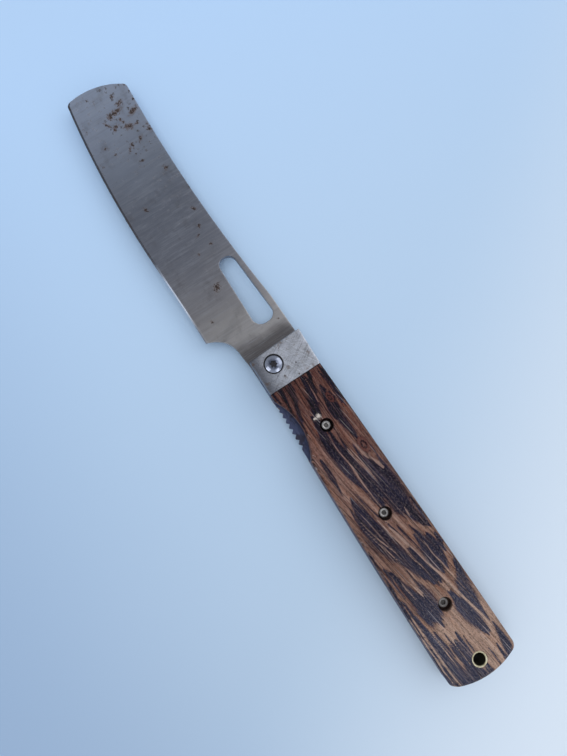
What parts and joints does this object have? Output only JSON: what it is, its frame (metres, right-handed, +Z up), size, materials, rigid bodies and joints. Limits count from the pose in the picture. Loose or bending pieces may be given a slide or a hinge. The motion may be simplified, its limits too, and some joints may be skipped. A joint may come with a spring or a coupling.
{
  "type": "folding knife",
  "caption": "Open folding knife with a broad square-tipped blade, thumb slot, steel bolsters, striped wood scales, jimped liner lock and lanyard tube.",
  "frame": {"origin": "centre of the overall box on the table, under the open knife lying on its rear scale", "axes": "+X to the blade's tip, +Y to the cutting edge and the handle's belly, +Z up out of the front scale"},
  "size_m": [0.27, 0.0346, 0.0147],
  "materials": {
    "blade_steel": "satin, ground across, with rust spots",
    "liner_steel": "dull, darkened",
    "bolster_steel": "brushed and scuffed",
    "bright_steel": "polished",
    "scale_wood": "dark-striped, worn oil finish",
    "washer_bronze": "plain",
    "tube_brass": "tarnished"
  },
  "bodies": {
    "handle": {"front_liner": "liner_steel", "rear_liner": "liner_steel", "front_bolster": "bolster_steel", "rear_bolster": "bolster_steel", "bolster_rivets": "bolster_steel", "front_scale": "scale_wood", "rear_scale": "scale_wood", "back_spacer": "liner_steel", "spacer_pins": "bright_steel", "stop_pin": "bright_steel", "pivot_barrel": "bright_steel", "pivot_screw": "bright_steel", "front_washer": "washer_bronze", "rear_washer": "washer_bronze", "front_scale_screws": "bright_steel", "rear_scale_screws": "bright_steel", "lanyard_tube": "tube_brass"},
    "blade": {"blade": "blade_steel"},
    "lock": {"lock_bar": "liner_steel", "detent_ball": "bright_steel"}
  },
  "joints": [
    {"name": "blade_fold", "type": "hinge", "parent": "handle", "child": "blade", "pos_m": [0.00125, 0.0001, 0.0072], "axis": [0, 0, 1], "range_deg": [0, 174.5], "deforming": ["lock_bar", "detent_ball"]},
    {"name": "lock_bend", "type": "hinge", "parent": "handle", "child": "lock", "pos_m": [-0.05375, 0.005, 0.00505], "axis": [0, 1, 0], "range_deg": [-1.7, 0]}
  ]
}
